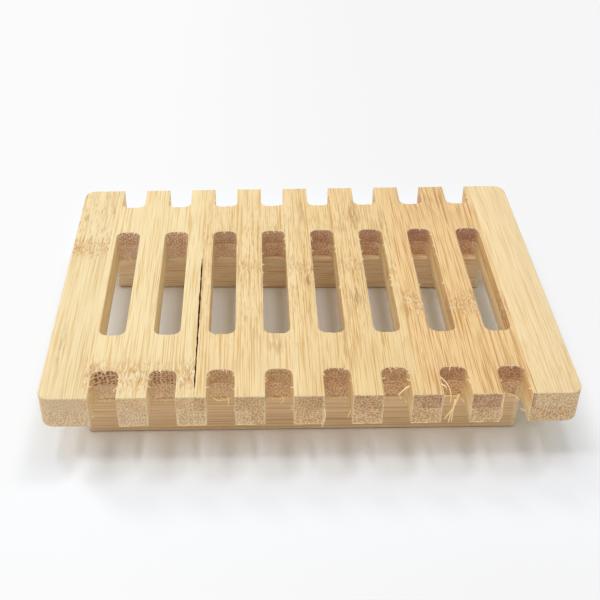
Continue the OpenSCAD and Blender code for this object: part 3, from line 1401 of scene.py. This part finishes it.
@dataclass(frozen=True)
class StripLamp:
    """A strip lamp overhead, its length front to back: its middle in metres and its light on a level face.

    The light is the share that reaches the middle of the dish's top.
    """

    name: str
    place: tuple[float, float, float]
    share: float
    width: float = 0.05
    length: float = 0.18

    def build(self) -> bpy.types.Object:
        """Makes the lamp, which faces straight down.

        Formula: a level face takes the light over pi squared times its rise squared over the fourth power
        of its distance, so the light is the share times pi squared and the inverse of that.

        Returns:
            The lamp.
        """
        data = bpy.data.lights.new(self.name, "AREA")
        data.shape = "RECTANGLE"
        data.size, data.size_y = self.width, self.length
        # Above the dish's top
        rise = self.place[2] - 0.018
        away = math.hypot(self.place[0], self.place[1], rise)
        data.energy = math.pi ** 2 * self.share * away ** 4 / rise ** 2
        made = linked(self.name, data)
        made.location = self.place
        return made


@dataclass(frozen=True)
class Camera:
    """The camera: its place in metres, its turns in degrees, and its lens and film in millimetres."""

    place: tuple[float, float, float] = (-0.0113, -0.2127, 0.1673)
    yaw: float = 0.47
    dip: float = 36.95
    roll: float = -1.04
    lens: float = 61.42
    film: float = 36.0
    nearest: float = 0.01
    shift_x: float = 0.0833
    shift_y: float = 0.022

    def build(self) -> bpy.types.Object:
        """Makes the camera, at the height and angle that the board's edges give.

        Returns:
            The camera.
        """
        data = bpy.data.cameras.new("camera")
        data.lens = self.lens
        data.sensor_width = self.film
        data.shift_x, data.shift_y = self.shift_x, self.shift_y
        data.clip_start = self.nearest
        made = linked("camera", data)
        yaw, pitch, roll = (Matrix.Rotation(math.radians(angle), 4, axis)
                            for angle, axis in ((self.yaw, "Z"), (90 - self.dip, "X"), (self.roll, "Z")))
        made.matrix_world = Matrix.Translation(self.place) @ yaw @ pitch @ roll
        bpy.context.scene.camera = made
        return made


@dataclass
class Studio:
    """The pale floor, the sky and the lamps.

    floor_seen is the floor's colour as the camera sees it. near_x and near_y are where the near floor
    begins to give way to the far one and where it ends, to each side of the middle. far_left and far_right
    are the far floor's brightness at the two places of far_x. sky and sky_seen are the sky's strength as
    light and as the camera sees it. Places are in metres.
    """

    floor_colour: str = "#FBFBFC"
    floor_seen: tuple[float, float, float] = (0.965, 1.0, 1.045)
    near_x: tuple[float, float] = (0.06, 0.072)
    near_y: tuple[float, float] = (0.051, 0.085)
    far_x: tuple[float, float] = (-0.05, 0.04)
    far_left: float = 0.965
    far_right: float = 0.92
    sky: float = 0.477
    sky_seen: float = 0.95
    lamps: tuple[SoftLamp | StripLamp, ...] = (
        SoftLamp("back_left_lamp", 45.0, 35.0, 0.1),
        SoftLamp("left_lamp", 90.0, 58.0, 0.13),
        SoftLamp("back_right_lamp", -45.0, 58.0, 0.08),
        StripLamp("left_strip", (-0.145, 0.04, 0.4), 0.11),
        StripLamp("right_strip", (0.055, 0.04, 0.4), 0.127),
    )

    def floor(self) -> bpy.types.Object:
        """A matt white board. The camera sees it a little brighter than it lights the dish.

        Formula: a place's nearness is the product of two smooth steps down from 1 to 0, one of its
        distance from the middle to the side and one of that to the front or back. Where it is 0, the
        camera sees an even near-white, a little darker on the right than on the left.

        Returns:
            The board.
        """
        half = 4000.0
        points = np.array([(-half, -half, 0.0), (half, -half, 0.0), (half, half, 0.0), (-half, half, 0.0)])
        made = mesh_object("floor", points, [np.array([[0, 1, 2, 3]])], [False])
        paint = bpy.data.materials.new("matt_white_board")
        nodes = Nodes(paint)
        lit = nodes.add("BsdfDiffuse", None, {"Color": linear(self.floor_colour)})
        seen = nodes.add("BsdfDiffuse", None, {"Color": (*self.floor_seen, 1.0)})
        place = nodes.add("TexCoord", out="Object")
        near = 1.0
        for axis, ends in (("X", self.near_x), ("Y", self.near_y)):
            away = nodes.add("Math", ABSOLUTE, (nodes.add("SeparateXYZ", None, (place,), axis),))
            away = nodes.add("MapRange", SMOOTH, (away, *ends, 1.0, 0.0))
            near = nodes.add("Math", TIMES, (near, away))
        across = nodes.add("SeparateXYZ", None, (place,), "X")
        level = nodes.add("MapRange", None, (across, *self.far_x, self.far_left, self.far_right))
        even = nodes.add("Emission", None, {"Strength": level})
        seen = nodes.add("MixShader", None, (near, even, seen))
        both = nodes.add("MixShader", None, (self.seen_rays(nodes), lit, seen))
        nodes.add("OutputMaterial", None, {"Surface": both})
        made.data.materials.append(paint)
        return made

    def seen_rays(self, nodes: Nodes) -> Socket:
        """1 for what the camera sees, also in a glossy or through a clear surface, and 0 for light.

        Args:
            nodes: the nodes of the floor or of the sky.

        Returns:
            That share.
        """
        path = nodes.add("LightPath").node.outputs
        total = path["Is Camera Ray"]
        for kind in ("Is Glossy Ray", "Is Transmission Ray"):
            total = nodes.add("Math", {"operation": "MAXIMUM"}, (total, path[kind]))
        return total

    def sky_light(self) -> None:
        """A white sky on all sides, which the camera sees brighter than it lights the dish."""
        world = bpy.data.worlds.new("white_sky")
        bpy.context.scene.world = world
        nodes = Nodes(world)
        strength = nodes.add("MapRange", None, (self.seen_rays(nodes), 0.0, 1.0, self.sky, self.sky_seen))
        light = nodes.add("Background", None, {"Color": (1.0, 1.0, 1.0, 1.0), "Strength": strength})
        nodes.add("OutputWorld", None, {"Surface": light})

    def build(self) -> None:
        """Sets up the floor, the sky and the lamps."""
        self.floor()
        self.sky_light()
        for lamp in self.lamps:
            lamp.build()


def main() -> None:
    """Builds the stage and the dish, and reports each piece."""
    logging.basicConfig(level=logging.INFO, format="%(name)s: %(message)s")
    bpy.context.scene.view_settings.view_transform = "Standard"
    Camera().build()
    Studio().build()
    sizes = DishSizes()
    upper = Ply("upper", sizes, sizes.upper_edges(), sizes.upper_z(), sizes.top_z(), UPPER_FINISHES,
                (False, True), True)
    lower = Ply("lower", sizes, sizes.lower_edges(), sizes.rail_h, sizes.upper_z(), LOWER_FINISHES,
                (True, False))
    front_rail = Rail("front_rail", sizes, -sizes.front_rail_shift, sizes.front_rail_y(), 0.0,
                      FRONT_RAIL_FINISH, SEED + 10)
    rear_rail = Rail("rear_rail", sizes, sizes.rear_rail_shift, sizes.rear_rail_y(), -sizes.rear_rail_turn,
                     REAR_RAIL_FINISH, SEED + 9)
    pieces = [*upper.build(), *lower.build(), front_rail.build(), rear_rail.build(),
              TornFibres(sizes, LONG_FIBRES).build()]
    for piece in pieces:
        LOG.info("%s: %d faces", piece.name, len(piece.data.polygons))


if __name__ == "__main__":
    main()
